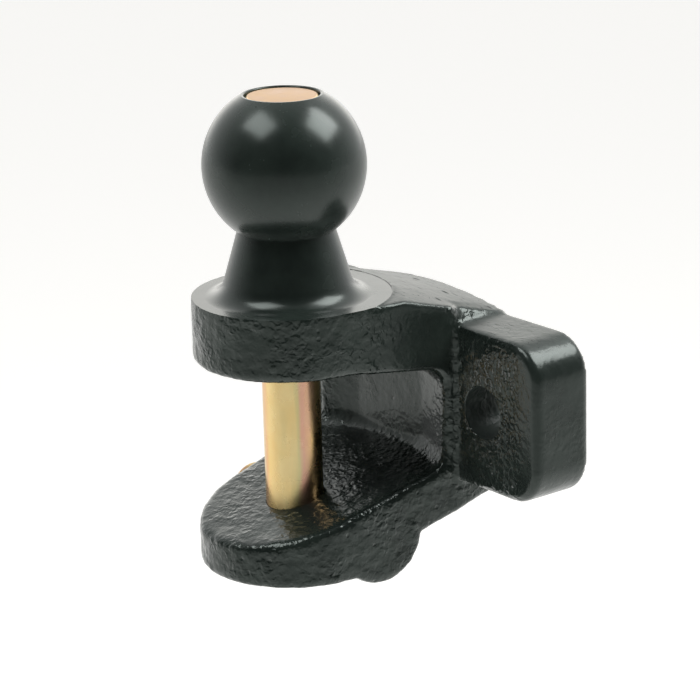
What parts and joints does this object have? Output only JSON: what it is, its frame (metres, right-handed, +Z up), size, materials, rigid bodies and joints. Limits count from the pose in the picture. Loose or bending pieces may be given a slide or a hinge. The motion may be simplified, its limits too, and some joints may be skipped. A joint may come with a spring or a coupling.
{
  "type": "trailer hitch",
  "caption": "Cast trailer hitch with a 50 mm tow ball over a drawbar jaw, a drop-in tow pin, a turning lock handle and a two-bolt flange.",
  "frame": {"origin": "centre of the flat mounting face, midway between the two bolt holes", "axes": "+Y out of the mounting face towards the towing vehicle; +Z up, along the ball's and the pin's axis; +X along the flange; the ball and jaws lie towards -Y"},
  "size_m": [0.14, 0.0895, 0.1536],
  "materials": {
    "black_painted_casting": "gloss black paint over rough cast iron",
    "yellow_zinc_pin": "turned steel with yellow passivated zinc",
    "yellow_zinc_shaft": "turned steel with yellow passivated zinc",
    "yellow_zinc_handle": "forged steel with yellow passivated zinc",
    "spring_steel": "oiled dark spring steel",
    "bright_zinc": "bright zinc",
    "black_oxide_screw": "black oxide"
  },
  "bodies": {
    "hitch": {"hitch_body": "black_painted_casting", "keeper_screw": "black_oxide_screw", "thrust_washer": "bright_zinc"},
    "tow_pin": {"tow_pin": "yellow_zinc_pin"},
    "lock": {"lock_shaft": "yellow_zinc_shaft", "lock_handle": "yellow_zinc_handle", "handle_roll_pin": "spring_steel", "bow_washer": "spring_steel"}
  },
  "joints": [
    {"name": "tow_pin_lift", "type": "slide", "parent": "hitch", "child": "tow_pin", "axis": [0, 0, 1], "range_m": [0, 0.156]},
    {"name": "lock_turn", "type": "hinge", "parent": "hitch", "child": "lock", "pos_m": [0, -0.047, -0.0404], "axis": [-1, 0, 0], "range_deg": [0, 90]}
  ]
}
